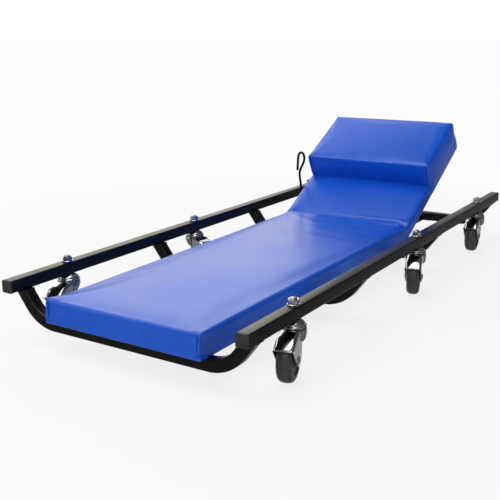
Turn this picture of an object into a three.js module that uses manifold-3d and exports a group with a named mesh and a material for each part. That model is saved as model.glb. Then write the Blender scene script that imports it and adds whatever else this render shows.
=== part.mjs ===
// Six-caster mechanics creeper with a propped, folding headrest.
// Millimetres, +Z up, +X to the right, +Y toward the head end.
// The origin is on the floor, under the middle of the object's bounding box.
import * as THREE from 'three';
import { mergeVertices } from 'three/addons/utils/BufferGeometryUtils.js';
import Module from 'manifold-3d';

const wasm = await Module();
wasm.setup();

// ---- driving dimensions ----------------------------------------------------
const LENGTH = 1035;            // over the end caps
const WIDTH = 425;              // over the two side rails
const RAIL = 19;                // square tube side
const RAIL_WALL = 1.2;
const RAIL_TOP = 98;            // height of the rail's top face above the floor
const CAP = 3;                  // visible thickness of an end cap
const GAP = 0.3;                // working gap between touching pieces

const CROSS_SIZE = 18;          // bent cross member tube
const CROSS_WALL = 1.4;
const CROSS_BOTTOM = 25.5;      // underside of its low, flat middle
const CROSS_FLAT = 136;         // half length of the flat middle
const CROSS_OUTER_R = 68;       // outside radius of each bend
const CROSS_RISE = 53 * Math.PI / 180;
const CROSS_Y = [-486.9, -171.9, 147.7, 483.6];

const PAD_WIDTH = 272;
const PAD_FOOT = -509.1;        // foot end of the long pad
const PAD_TOP = 80.8;
const BOARD = 9;                // plywood
const BOARD_INSET = 2;          // the cover wraps past the board by this much

const TILT = 29 * Math.PI / 180;        // headrest angle when propped
const HINGE_Y = 159.8;
const HINGE_Z = 40.7;
const KNUCKLE = 2.8;            // hinge knuckle radius
const LEAF = 1.5;
const HINGE_X = [103, -103];
const HINGE_W = 50;
const HEAD_BASE = 3.1;          // headboard underside above the hinge axis
const HEAD_LEN = 325;
const HEAD_PAD = 22;            // board and foam together
const PILLOW_FROM = 162;
const PILLOW_FRONT = 72;        // height over the headboard underside, front
const PILLOW_BACK = 68.5;       // and back

const BAR_X = 54;               // inner face of a support bar
const BAR_T = 3;
const BAR_H = 17;
const BAR_Z = 26;
const TAB = 16;

const ROD = 2.6;                // prop rod radius
const ROD_Y = 284.5;            // rod shaft axis
const ROD_Z = 34.5;
const CRANK_R = 91.6;
const CRANK_LEAN = 15 * Math.PI / 180;      // toward the head when the headrest is up
const CRANK_X = 46;
const HANDLE_X = -152.6;
const HANDLE_LEAN = 10 * Math.PI / 180;

const WHEEL_R = 31.5;
const WHEEL_W = 21.4;
const TRAIL = 24;
const KING_X = WIDTH / 2 - RAIL / 2;
// caster: side, y, rest yaw in degrees (0 trails toward the foot end)
const CASTERS = [
  [1, -391.9, 15], [1, 44.8, 17], [1, 385.8, 6.5],
  [-1, -393.7, 15], [-1, -58.6, 70], [-1, 405, 75],
];

// ---- materials -------------------------------------------------------------
const mat = (color, roughness, metalness) => new THREE.MeshStandardMaterial({ color, roughness, metalness });
const powder = () => mat(0x1d1e20, 0.35, 0.3);
const plasticBlack = () => mat(0x26282a, 0.55, 0);
const vinyl = () => mat(0x1f4fd0, 0.35, 0);
const ply = () => mat(0xa07c4e, 0.75, 0);
const zinc = () => mat(0xc9ccd0, 0.3, 1);
const chrome = () => mat(0xd8dadd, 0.12, 1);
const darkSteel = () => mat(0x3c3e40, 0.35, 0.8);
const rubber = () => mat(0x1b1b1c, 0.6, 0);

// ---- solids ----------------------------------------------------------------
function solid(geometry) {
  const g = geometry.clone();
  g.deleteAttribute('normal');
  g.deleteAttribute('uv');
  const m = mergeVertices(g, 1e-4);
  return new wasm.Manifold(new wasm.Mesh({
    numProp: 3,
    vertProperties: Float32Array.from(m.attributes.position.array),
    triVerts: Uint32Array.from(m.index.array),
  }));
}
function geometryOf(manifold) {
  const m = manifold.getMesh();
  const g = new THREE.BufferGeometry();
  g.setAttribute('position', new THREE.BufferAttribute(Float32Array.from(m.vertProperties), 3));
  g.setIndex(new THREE.BufferAttribute(Uint32Array.from(m.triVerts), 1));
  g.computeVertexNormals();
  return g;
}
const cut = (a, ...bs) => bs.reduce((s, b) => s.subtract(solid(b)), a instanceof wasm.Manifold ? a : solid(a));
const join = (a, ...bs) => bs.reduce((s, b) => s.add(solid(b)), a instanceof wasm.Manifold ? a : solid(a));
const box = (x0, x1, y0, y1, z0, z1) => new THREE.BoxGeometry(x1 - x0, y1 - y0, z1 - z0)
  .translate((x0 + x1) / 2, (y0 + y1) / 2, (z0 + z1) / 2);
const rodX = (r, x0, x1, y, z, n = 12) => new THREE.CylinderGeometry(r, r, x1 - x0, n)
  .rotateZ(Math.PI / 2).translate((x0 + x1) / 2, y, z);
const rodY = (r, y0, y1, x, z, n = 12) => new THREE.CylinderGeometry(r, r, y1 - y0, n)
  .translate(x, (y0 + y1) / 2, z);
const rodZ = (r, z0, z1, x, y, n = 12) => new THREE.CylinderGeometry(r, r, z1 - z0, n)
  .rotateX(Math.PI / 2).translate(x, y, (z0 + z1) / 2);
// a polygon in the y-z plane, extruded along x
function slabX(points, x0, x1) {
  const s = new THREE.Shape(points.map(p => new THREE.Vector2(p[0], p[1])));
  const g = new THREE.ExtrudeGeometry(s, { depth: x1 - x0, bevelEnabled: false });
  g.applyMatrix4(new THREE.Matrix4().makeBasis(
    new THREE.Vector3(0, 1, 0), new THREE.Vector3(0, 0, 1), new THREE.Vector3(1, 0, 0)));
  return g.translate(x0, 0, 0);
}
// a polygon in the x-z plane, extruded along y
function slabY(points, y0, y1, bevel = 0) {
  const s = new THREE.Shape(points.map(p => new THREE.Vector2(p[0], p[1])));
  const g = new THREE.ExtrudeGeometry(s, bevel
    ? { depth: y1 - y0 - 2 * bevel, bevelEnabled: true, bevelThickness: bevel, bevelSize: bevel, bevelOffset: -bevel, bevelSegments: 1 }
    : { depth: y1 - y0, bevelEnabled: false });
  g.applyMatrix4(new THREE.Matrix4().makeBasis(
    new THREE.Vector3(1, 0, 0), new THREE.Vector3(0, 0, 1), new THREE.Vector3(0, -1, 0)));
  return g.translate(0, y1 - bevel, 0);
}
// a round bar whose centre line runs through the given points
class BentWire extends THREE.Curve {
  constructor(points) { super(); this.points = points; }
  getPoint(t, out = new THREE.Vector3()) {
    const n = this.points.length - 1;
    const i = Math.min(Math.floor(t * n + 1e-9), n - 1);
    return out.copy(this.points[i]).lerp(this.points[i + 1], t * n - i);
  }
  getPointAt(u, out) { return this.getPoint(u, out); }
  getTangent(t, out = new THREE.Vector3()) {
    const n = this.points.length - 1, i = Math.round(t * n), p = this.points;
    const a = new THREE.Vector3(), b = new THREE.Vector3();
    if (i > 0) a.subVectors(p[i], p[i - 1]).normalize();
    if (i < n) b.subVectors(p[i + 1], p[i]).normalize();
    return out.addVectors(a, b).normalize();
  }
  getTangentAt(u, out) { return this.getTangent(u, out); }
}
function wire(points, r, sides = 8) {
  const s = new THREE.Shape(Array.from({ length: sides }, (_, i) => {
    const a = (i + 0.5) / sides * 2 * Math.PI;
    return new THREE.Vector2(r * Math.cos(a), r * Math.sin(a));
  }));
  return new THREE.ExtrudeGeometry(s, { steps: points.length - 1, extrudePath: new BentWire(points), bevelEnabled: false });
}
// corner points replaced by short arcs
function fillet(points, radii, seg = 4) {
  const out = [points[0].clone()];
  for (let i = 1; i < points.length - 1; i++) {
    const a = points[i - 1], b = points[i], c = points[i + 1];
    const u = new THREE.Vector3().subVectors(a, b).normalize();
    const v = new THREE.Vector3().subVectors(c, b).normalize();
    const half = u.angleTo(v) / 2;
    const d = radii[i - 1] / Math.tan(half);
    const mid = u.clone().add(v).normalize();
    const centre = b.clone().addScaledVector(mid, radii[i - 1] / Math.sin(half));
    const p0 = b.clone().addScaledVector(u, d).sub(centre);
    const p1 = b.clone().addScaledVector(v, d).sub(centre);
    const axis = new THREE.Vector3().crossVectors(p0, p1).normalize();
    const sweep = p0.angleTo(p1);
    for (let k = 0; k <= seg; k++) out.push(p0.clone().applyAxisAngle(axis, sweep * k / seg).add(centre));
  }
  out.push(points[points.length - 1].clone());
  return out;
}

const creeper = new THREE.Group();
creeper.name = 'mechanics_creeper';
function add(name, geometry, material, parent = creeper) {
  const g = geometry instanceof wasm.Manifold ? geometryOf(geometry) : geometry;
  const mesh = new THREE.Mesh(g, material);
  mesh.name = name;
  parent.add(mesh);
  return mesh;
}
const tag = s => (s > 0 ? 'right' : 'left');

// ---- side rails and end caps -------------------------------------------------
const railX = KING_X, railZ = RAIL_TOP - RAIL / 2, h = RAIL / 2;
for (const side of [1, -1]) {
  const holes = CASTERS.filter(c => c[0] === side)
    .map(c => rodZ(5.4, RAIL_TOP - RAIL - 2, RAIL_TOP + 2, side * railX, c[1]));
  const y0 = -LENGTH / 2 + CAP + GAP, y1 = LENGTH / 2 - CAP - GAP;
  const c = 1.6;
  const section = [[-h + c, -h], [h - c, -h], [h, -h + c], [h, h - c], [h - c, h], [-h + c, h], [-h, h - c], [-h, -h + c]]
    .map(p => [p[0] + side * railX, p[1] + railZ]);
  add(`${tag(side)}_rail`, cut(slabY(section, y0, y1),
    box(side * railX - h + RAIL_WALL, side * railX + h - RAIL_WALL, y0 - 1, y1 + 1, railZ - h + RAIL_WALL, railZ + h - RAIL_WALL),
    ...holes), powder());
  const plug = h - RAIL_WALL - GAP;
  for (const end of [-1, 1]) {
    const outer = end * LENGTH / 2, inner = end * (LENGTH / 2 - CAP), deep = end * (LENGTH / 2 - CAP - 12);
    add(`${tag(side)}_rail_cap_${end < 0 ? 'foot' : 'head'}`, join(
      slabY(section, Math.min(outer, inner), Math.max(outer, inner)),
      box(side * railX - plug, side * railX + plug, Math.min(inner, deep), Math.max(inner, deep),
        railZ - plug, railZ + plug)), plasticBlack());
  }
}

// ---- bent cross members ------------------------------------------------------
function crossOutline(inset, reach) {
  // right half, outer line then inner line, mirrored
  const top = RAIL_TOP - RAIL - GAP + reach;
  const ro = CROSS_OUTER_R - inset, ri = CROSS_OUTER_R - CROSS_SIZE + inset;
  const cz = CROSS_BOTTOM + CROSS_OUTER_R;
  const n = 6, outer = [], inner = [];
  for (let k = 0; k <= n; k++) {
    const a = CROSS_RISE * k / n;
    outer.push([CROSS_FLAT + ro * Math.sin(a), cz - ro * Math.cos(a)]);
    inner.push([CROSS_FLAT + ri * Math.sin(a), cz - ri * Math.cos(a)]);
  }
  const extend = line => {
    const p = line[line.length - 1];
    line.push([p[0] + (top - p[1]) / Math.tan(CROSS_RISE), top]);
  };
  extend(outer); extend(inner);
  const right = [...outer, ...inner.reverse()];
  const left = right.map(p => [-p[0], p[1]]).reverse();
  // outer line left to right, then inner line right to left
  const m = n + 2;
  return [...left.slice(m), ...right.slice(0, m), ...right.slice(m), ...left.slice(0, m)];
}
CROSS_Y.forEach((y, i) => {
  const w = CROSS_SIZE / 2;
  add(`cross_member_${i + 1}`, cut(
    slabY(crossOutline(0, 0), y - w, y + w, 1.5),
    slabY(crossOutline(CROSS_WALL, 4), y - w + CROSS_WALL, y + w - CROSS_WALL)), powder());
});

// ---- long pad: board and cushion ---------------------------------------------
const boardZ = CROSS_BOTTOM + CROSS_SIZE + GAP;
const padEnd = HINGE_Y - 1.6;
const half = PAD_WIDTH / 2;
add('main_board', new THREE.BoxGeometry(PAD_WIDTH - 2 * BOARD_INSET, padEnd - BOARD_INSET - PAD_FOOT - BOARD_INSET, BOARD)
  .translate(0, (PAD_FOOT + padEnd) / 2, boardZ + BOARD / 2), ply());
{
  // the cover wraps the board's edges; at the hinge end a soft lip leans over the headrest
  const lip = 16.5, headTop = HEAD_BASE + HEAD_PAD;
  const under = y => HINGE_Z + headTop / Math.cos(TILT) + (y - HINGE_Y) * Math.tan(TILT) + 0.7;
  const profile = [[PAD_FOOT, boardZ + 0.4], [padEnd, boardZ + 0.4], [padEnd, under(padEnd)],
    [padEnd + lip, under(padEnd + lip)], [padEnd + lip, PAD_TOP], [PAD_FOOT + 6, PAD_TOP], [PAD_FOOT, PAD_TOP - 6]];
  const o = BOARD_INSET - GAP;
  add('main_cushion', cut(slabX(profile, -half, half),
    box(-half + o, half - o, PAD_FOOT + o, padEnd - o, boardZ - 5, boardZ + BOARD + GAP)), vinyl());
}

// ---- headrest, built flat about the hinge axis, then tilted --------------------
const head = new THREE.Group();
head.position.set(0, HINGE_Y, HINGE_Z);
head.rotation.x = TILT;
creeper.add(head);
{
  const b = HEAD_BASE, front = 2.2, cham = (HEAD_PAD) * Math.tan(TILT) + 1.2;
  add('head_board', new THREE.BoxGeometry(PAD_WIDTH - 2 * BOARD_INSET, HEAD_LEN - BOARD_INSET - front - 5.6, BOARD)
    .translate(0, (HEAD_LEN - BOARD_INSET + front + 5.6) / 2, b + BOARD / 2), ply(), head);
  const profile = [[front, b + 0.4], [HEAD_LEN, b + 0.4], [HEAD_LEN, b + HEAD_PAD], [front + cham, b + HEAD_PAD]];
  const o = BOARD_INSET - GAP;
  add('head_cushion', cut(slabX(profile, -half, half),
    box(-half + o, half - o, front + 5.6 - GAP, HEAD_LEN - o, b - 5, b + BOARD + GAP)), vinyl(), head);
  const p0 = b + HEAD_PAD + GAP;
  const pf = b + PILLOW_FRONT, pb = b + PILLOW_BACK, c = 5;
  add('pillow', slabX([[PILLOW_FROM, p0], [HEAD_LEN - 1, p0], [HEAD_LEN - 1, pb - c], [HEAD_LEN - 1 - c, pb],
    [PILLOW_FROM + c, pf], [PILLOW_FROM, pf - c]], -half + 1, half - 1), vinyl(), head);
}

// ---- headrest hinges ----------------------------------------------------------
HINGE_X.forEach(x => {
  const s = tag(x), w = HINGE_W / 2, pin = 1.4, bore = pin + GAP;
  const faceY = CROSS_Y[2] + CROSS_SIZE / 2 + GAP;
  // fixed leaf, on the head side of the third cross member, with the two outer knuckles
  const fixed = join(box(x - w, x + w, faceY, faceY + LEAF, CROSS_BOTTOM + 2, HINGE_Z),
    rodX(KNUCKLE, x - w, x + w, HINGE_Y, HINGE_Z, 14));
  add(`${s}_hinge_fixed_leaf`, cut(fixed, box(x - 12.3, x + 12.3, HINGE_Y - KNUCKLE - GAP - 0.05, HINGE_Y + 5, HINGE_Z - 4, HINGE_Z + 4),
    rodX(bore, x - w - 1, x + w + 1, HINGE_Y, HINGE_Z, 10)), zinc());
  // moving leaf, under the headboard, with the middle knuckle
  const moving = join(box(x - w, x + w, 3.6, 30, KNUCKLE - LEAF, KNUCKLE),
    box(x - 12, x + 12, 0, 4.6, KNUCKLE - LEAF, KNUCKLE),
    rodX(KNUCKLE, x - 12, x + 12, 0, 0, 14));
  add(`${s}_hinge_moving_leaf`, cut(moving, rodX(bore, x - w - 1, x + w + 1, 0, 0, 10)), zinc(), head);
  add(`${s}_hinge_pin`, rodX(pin, x - w - 1, x + w + 1, HINGE_Y, HINGE_Z, 10), darkSteel());
});

// ---- support bars under the headrest, between cross members 3 and 4 --------------
const barY0 = CROSS_Y[2] + CROSS_SIZE / 2 + GAP, barY1 = CROSS_Y[3] - CROSS_SIZE / 2 - GAP;
for (const side of [1, -1]) {
  const a = side * BAR_X, b = side * (BAR_X + BAR_T), c = side * (BAR_X + BAR_T + TAB);
  const m = (p, q) => [Math.min(p, q), Math.max(p, q)];
  const web = box(...m(a, b), barY0, barY1, BAR_Z, BAR_Z + BAR_H);
  const tab0 = box(...m(a, c), barY0, barY0 + BAR_T, BAR_Z, BAR_Z + BAR_H);
  const tab1 = box(...m(a, c), barY1 - BAR_T, barY1, BAR_Z, BAR_Z + BAR_H);
  const mx = side * (BAR_X + BAR_T + 7.5), mz = BAR_Z + BAR_H / 2;
  add(`${tag(side)}_support_bar`, cut(join(web, tab0, tab1),
    rodX(ROD + GAP, a < b ? a - 2 : b - 2, a < b ? b + 2 : a + 2, ROD_Y, ROD_Z, 16),
    rodY(2.9, barY0 - 1, barY0 + BAR_T + 1, mx, mz), rodY(2.9, barY1 - BAR_T - 1, barY1 + 1, mx, mz)), powder());
  [['foot', barY0 + BAR_T + GAP, 1], ['head', barY1 - BAR_T - GAP, -1]].forEach(([end, face, dir]) => {
    const y = [face, face + dir * 3.2], shank = [face + dir, face - dir * (BAR_T + 0.1)];
    add(`${tag(side)}_bar_bolt_${end}`, join(rodY(4.6, Math.min(...y), Math.max(...y), mx, mz, 12),
      rodY(2.4, Math.min(...shank), Math.max(...shank), mx, mz, 10)), darkSteel());
  });
}

// ---- prop rod: shaft, crank and hooked handle bent from one length of wire --------
{
  const V = (x, up, lean = 0) => new THREE.Vector3(x, ROD_Y - up * Math.sin(lean), ROD_Z + up * Math.cos(lean));
  const base = fillet([
    V(70, 0), V(CRANK_X, 0), V(CRANK_X, CRANK_R, -CRANK_LEAN), V(-CRANK_X, CRANK_R, -CRANK_LEAN), V(-CRANK_X, 0), V(HANDLE_X, 0), V(HANDLE_X, 70, HANDLE_LEAN),
  ], [8, 8, 8, 8, 9], 4);
  // the hook: leans out, swings back in and loops over to a free end outboard
  const hook = [[-153.2, 95], [-153.8, 104], [-153.7, 112.9], [-150.9, 122.8], [-147.3, 129], [-143.7, 135.5], [-139.9, 144], [-139.2, 153.2],
    [-141.3, 158.5], [-145, 161.1], [-149.3, 159.8], [-152.5, 154.5], [-155.1, 144.1], [-156.6, 131.9], [-158.2, 122.1]]
    .map(p => V(p[0], p[1], HANDLE_LEAN));
  add('prop_rod', wire([...base, ...hook], ROD, 8), powder());
  add('rod_retainer', cut(rodX(6.5, BAR_X + BAR_T + 0.6, BAR_X + BAR_T + 3.4, ROD_Y, ROD_Z, 14),
    rodX(ROD + GAP, BAR_X, BAR_X + 12, ROD_Y, ROD_Z, 16)), zinc());
}

// ---- casters -------------------------------------------------------------------
const lathe = (pts, n) => new THREE.LatheGeometry(pts.map(p => new THREE.Vector2(p[0], p[1])), n);
const railUnder = RAIL_TOP - RAIL;
CASTERS.forEach(([side, y, yaw], i) => {
  const n = i % 3 + 1, name = `${tag(side)}_caster_${n}`;
  const king = new THREE.Group();
  king.position.set(side * KING_X, y, 0);
  creeper.add(king);
  // threaded stem, upper race cap, kingpin and its lower head: one upset piece
  const zt = railUnder - GAP;
  add(`${name}_stem`, lathe([[0, 60.4], [7, 60.4], [8, 62], [8, 64.2], [4, 64.2], [4, 69.2], [17.6, 69.2], [18, 71], [15, 75.5], [9, zt], [5, zt],
    [5, RAIL_TOP + 9.4], [4, RAIL_TOP + 10.4], [0, RAIL_TOP + 10.4]], 12).rotateX(Math.PI / 2), zinc(), king);
  // hexagon nut with a washer face
  add(`${name}_nut`, cut(join(rodZ(9, RAIL_TOP + GAP, RAIL_TOP + 2, 0, 0, 14), rodZ(8.2, RAIL_TOP + 1.9, RAIL_TOP + 8.6, 0, 0, 6)),
    rodZ(5.35, RAIL_TOP - 1, RAIL_TOP + 12, 0, 0, 14)), zinc(), king);
  // everything below swivels
  const swivel = new THREE.Group();
  swivel.rotation.z = yaw * Math.PI / 180;
  king.add(swivel);
  // pressed fork: crown, two cheeks and a rear skirt around the tyre; local -Y is the trailing side
  const t = -TRAIL;
  const arc = (r, deg) => [t - r * Math.cos(deg * Math.PI / 180), WHEEL_R + r * Math.sin(deg * Math.PI / 180)];
  const cheek = 12.2, sheet = 1.7, hood = WHEEL_R + 2.3, low = 36.5;
  const outline = [[2, 68.9], [2, 60], [-5, 52], [-6.8, 46], [-6.8, 35], [-9.6, 25.6], [-13.6, 22], [-18.5, 20.4], [t, 20.8], [t - 6.5, 25.3], [t - 20, 40],
    arc(hood + sheet, low), arc(hood + sheet, 50), arc(hood + sheet, 66), arc(hood + sheet, 84), [-20, 68.9]];
  const inside = slabX([[40, 10], [40, 66.9], [-18, 66.9],
    arc(hood, 84), arc(hood, 66), arc(hood, 50), arc(hood, low), arc(hood + 4, low), [t - 45, 40], [t - 45, 10]], -cheek, cheek);
  const yoke = cut(slabX(outline, -cheek - sheet, cheek + sheet), inside);
  // round crown with a skirt round its leading side
  const skirt = cut(rodZ(18.2, 58, 67.2, 0, 0, 20), rodZ(16.6, 50, 66.9, 0, 0, 20), slabX([[-30, 50], [-9, 50], [-9, 75], [-30, 75]], -30, 30));
  add(`${name}_fork`, cut(join(yoke, rodZ(18.2, 66.9, 68.9, 0, 0, 20)).add(skirt), rodZ(4.35, 60, 75, 0, 0, 14), rodX(3.35, -30, 30, t, WHEEL_R, 12)), chrome(), swivel);
  // axle rivet
  const a = cheek + sheet + 0.25;
  add(`${name}_axle`, lathe([[0, -a - 2.2], [3.8, -a - 2.2], [5, -a - 0.9], [5, -a], [3, -a], [3, a], [5, a], [5, a + 0.9], [3.8, a + 2.2], [0, a + 2.2]], 10)
    .rotateZ(Math.PI / 2).translate(0, t, WHEEL_R), zinc(), swivel);
  // wheel: solid tyre and core
  const w = WHEEL_W / 2, R = WHEEL_R;
  add(`${name}_wheel`, lathe([[3.4, -w - 0.9], [9, -w - 0.9], [9.6, -w + 2.4], [21, -w + 2.4], [22.5, -w], [28, -w], [R, -w + 6],
    [R, w - 6], [28, w], [22.5, w], [21, w - 2.4], [9.6, w - 2.4], [9, w + 0.9], [3.4, w + 0.9], [3.4, -w - 0.9]], 20)
    .rotateZ(Math.PI / 2).translate(0, t, WHEEL_R), rubber(), swivel);
});

export default creeper;
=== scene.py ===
import bpy, bmesh, math, random
from mathutils import Vector, Matrix


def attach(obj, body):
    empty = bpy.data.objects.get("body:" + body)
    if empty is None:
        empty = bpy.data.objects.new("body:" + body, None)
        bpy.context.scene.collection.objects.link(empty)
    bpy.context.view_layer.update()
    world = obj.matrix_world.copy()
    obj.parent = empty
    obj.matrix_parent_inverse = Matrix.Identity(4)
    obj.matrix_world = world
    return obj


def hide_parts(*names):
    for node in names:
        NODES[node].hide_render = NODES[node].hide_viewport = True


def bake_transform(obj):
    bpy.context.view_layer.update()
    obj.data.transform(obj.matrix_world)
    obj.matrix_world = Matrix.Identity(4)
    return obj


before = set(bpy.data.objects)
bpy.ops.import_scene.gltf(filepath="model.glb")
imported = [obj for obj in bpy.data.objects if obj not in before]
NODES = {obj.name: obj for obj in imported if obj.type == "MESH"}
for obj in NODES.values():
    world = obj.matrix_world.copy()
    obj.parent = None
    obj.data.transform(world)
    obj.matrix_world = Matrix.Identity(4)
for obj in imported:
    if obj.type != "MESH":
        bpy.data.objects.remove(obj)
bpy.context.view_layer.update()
MM = 0.001
scene = bpy.context.scene

# ------------------------------------------------------------------ dimensions (mm, the CAD's own)
HALF_L = 517.5
RAIL_X, RAIL_TOP, RAIL = 203.0, 98.0, 19.0
CROSS_Y = [-486.9, -171.9, 147.7, 483.6]
CROSS, CROSS_BOTTOM, CROSS_FLAT, CROSS_R, CROSS_RISE = 18.0, 25.5, 136.0, 68.0, math.radians(53)
TILT = math.radians(29)
HINGE = (159.8, 40.7)
CASTERS = [("right", 1, -391.9, 15), ("right", 2, 44.8, 17), ("right", 3, 385.8, 6.5),
           ("left", 1, -393.7, 15), ("left", 2, -58.6, 70), ("left", 3, 405, 75)]
WHEEL_R, TRAIL = 31.5, 24.0


# ------------------------------------------------------------------ node helpers
class Nodes:
    def __init__(self, name):
        self.m = bpy.data.materials.new(name)
        self.m.use_nodes = True
        self.t = self.m.node_tree
        self.b = self.t.nodes["Principled BSDF"]
        self.o = self.t.nodes["Material Output"]

    def n(self, kind, **props):
        node = self.t.nodes.new(kind)
        for k, v in props.items():
            if k.startswith("_"):
                setattr(node, k[1:], v)
            else:
                node.inputs[k.replace("__", " ")].default_value = v
        return node

    def l(self, a, b):
        self.t.links.new(a, b)

    def coord(self):
        return self.n("ShaderNodeTexCoord").outputs["Object"]

    def noise(self, vec, scale, detail=3.0, rough=0.5):
        x = self.n("ShaderNodeTexNoise", Scale=scale, Detail=detail, Roughness=rough)
        self.l(vec, x.inputs["Vector"])
        return x.outputs["Fac"]

    def ramp(self, fac, stops):
        r = self.n("ShaderNodeValToRGB")
        e = r.color_ramp.elements
        while len(e) < len(stops):
            e.new(0.5)
        for i, (p, c) in enumerate(stops):
            e[i].position = p
            e[i].color = (*c, 1) if len(c) == 3 else c
        self.l(fac, r.inputs["Fac"])
        return r.outputs["Color"]

    def rng(self, fac, lo, hi, a=0.0, b=1.0):
        r = self.n("ShaderNodeMapRange")
        r.inputs["From Min"].default_value = a
        r.inputs["From Max"].default_value = b
        r.inputs["To Min"].default_value = lo
        r.inputs["To Max"].default_value = hi
        self.l(fac, r.inputs["Value"])
        return r.outputs["Result"]

    def math(self, op, a, b=None):
        m = self.n("ShaderNodeMath", _operation=op)
        for i, v in enumerate((a, b)):
            if v is None:
                continue
            if isinstance(v, (int, float)):
                m.inputs[i].default_value = v
            else:
                self.l(v, m.inputs[i])
        return m.outputs[0]

    def bump(self, height, strength, distance, normal=None):
        b = self.n("ShaderNodeBump", Strength=strength, Distance=distance)
        self.l(height, b.inputs["Height"])
        if normal is not None:
            self.l(normal, b.inputs["Normal"])
        return b.outputs["Normal"]


def lin(r, g, b):
    f = lambda c: (c / 255 / 12.92) if c / 255 <= 0.04045 else ((c / 255 + 0.055) / 1.055) ** 2.4
    return (f(r), f(g), f(b))


# ------------------------------------------------------------------ materials
def make_vinyl():
    k = Nodes("blue_vinyl")
    v = k.coord()
    # leather-print cells of about a millimetre, softened, with a slower unevenness of the foam under it
    cells = k.noise(v, 620.0, 2.0, 0.45)
    fine = k.noise(v, 1500.0, 1.0)
    slow = k.noise(v, 9.0, 3.0)
    patch = k.noise(v, 45.0, 4.0, 0.6)
    cloud = k.math("ADD", k.math("MULTIPLY", slow, 0.6), k.math("MULTIPLY", patch, 0.4))
    col = k.ramp(cloud, [(0.30, lin(10, 82, 200)), (0.55, lin(12, 89, 212)), (0.75, lin(16, 96, 221))])
    k.l(col, k.b.inputs["Base Color"])
    k.l(k.ramp(slow, [(0.3, (0.28, 0.28, 0.28)), (0.7, (0.34, 0.34, 0.34))]), k.b.inputs["Roughness"])
    n1 = k.bump(cells, 0.07, 0.0004)
    n2 = k.bump(fine, 0.03, 0.0002, n1)
    n3 = k.bump(slow, 0.06, 0.003, n2)
    k.l(n3, k.b.inputs["Normal"])
    k.b.inputs["IOR"].default_value = 1.5
    k.b.inputs["Specular IOR Level"].default_value = 0.42
    k.b.inputs["Coat Weight"].default_value = 0.08
    k.b.inputs["Coat Roughness"].default_value = 0.2
    return k.m


def make_powder(name="black_powder_coat", base=(9, 9, 10), light=(16, 16, 17), rough=(0.26, 0.36)):
    k = Nodes(name)
    v = k.coord()
    peel = k.noise(v, 700.0, 2.0)
    slow = k.noise(v, 22.0, 4.0, 0.6)
    k.l(k.ramp(slow, [(0.35, lin(*base)), (0.7, lin(*light))]), k.b.inputs["Base Color"])
    k.l(k.rng(slow, rough[0], rough[1], 0.3, 0.7), k.b.inputs["Roughness"])
    k.l(k.bump(peel, 0.16, 0.0005), k.b.inputs["Normal"])
    k.b.inputs["IOR"].default_value = 1.42
    k.b.inputs["Specular IOR Level"].default_value = 0.5
    k.b.inputs["Specular Tint"].default_value = (1.0, 0.98, 0.82, 1)
    return k.m


def make_plastic():
    k = Nodes("cap_plastic")
    v = k.coord()
    grain = k.noise(v, 1500.0, 2.0)
    slow = k.noise(v, 60.0, 3.0)
    k.l(k.ramp(slow, [(0.3, lin(40, 44, 42)), (0.7, lin(54, 58, 55))]), k.b.inputs["Base Color"])
    k.l(k.rng(slow, 0.5, 0.62, 0.3, 0.7), k.b.inputs["Roughness"])
    k.l(k.bump(grain, 0.25, 0.0004), k.b.inputs["Normal"])
    return k.m


def make_metal(name, light, dark, rough, scale=40.0, stretch=(1, 1, 1), bump=0.03):
    k = Nodes(name)
    v = k.coord()
    mp = k.n("ShaderNodeMapping")
    mp.inputs["Scale"].default_value = stretch
    k.l(v, mp.inputs["Vector"])
    s = k.noise(mp.outputs["Vector"], scale, 4.0, 0.6)
    f = k.noise(v, 900.0, 2.0)
    k.l(k.ramp(s, [(0.3, lin(*dark)), (0.65, lin(*light))]), k.b.inputs["Base Color"])
    k.b.inputs["Metallic"].default_value = 1.0
    k.l(k.rng(s, rough[0], rough[1], 0.3, 0.7), k.b.inputs["Roughness"])
    k.l(k.bump(f, bump, 0.0004), k.b.inputs["Normal"])
    return k.m


def make_ply():
    k = Nodes("plywood")
    v = k.coord()
    # face grain runs along Y; the plies show at the edges, stacked in Z
    mp = k.n("ShaderNodeMapping")
    mp.inputs["Scale"].default_value = (1.0, 0.09, 1.0)
    k.l(v, mp.inputs["Vector"])
    grain = k.noise(mp.outputs["Vector"], 160.0, 6.0, 0.65)
    wave = k.n("ShaderNodeTexWave", Scale=9.0, Distortion=7.0, Detail=3.0)
    wave.inputs["Detail Scale"].default_value = 1.4
    k.l(mp.outputs["Vector"], wave.inputs["Vector"])
    both = k.math("ADD", k.math("MULTIPLY", grain, 0.65), k.math("MULTIPLY", wave.outputs["Fac"], 0.35))
    col = k.ramp(both, [(0.25, lin(138, 98, 58)), (0.5, lin(176, 134, 88)), (0.8, lin(198, 160, 112))])
    k.l(col, k.b.inputs["Base Color"])
    k.l(k.rng(grain, 0.62, 0.8), k.b.inputs["Roughness"])
    k.l(k.bump(both, 0.3, 0.0008), k.b.inputs["Normal"])
    return k.m


def make_rubber():
    k = Nodes("wheel_rubber")
    v = k.coord()
    fine = k.noise(v, 1200.0, 2.0)
    scuff = k.noise(v, 90.0, 5.0, 0.65)
    k.l(k.ramp(scuff, [(0.3, lin(48, 48, 49)), (0.6, lin(62, 62, 63)), (0.8, lin(76, 75, 74))]), k.b.inputs["Base Color"])
    k.l(k.rng(scuff, 0.3, 0.46, 0.3, 0.75), k.b.inputs["Roughness"])
    k.l(k.bump(fine, 0.2, 0.0004), k.b.inputs["Normal"])
    return k.m


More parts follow.
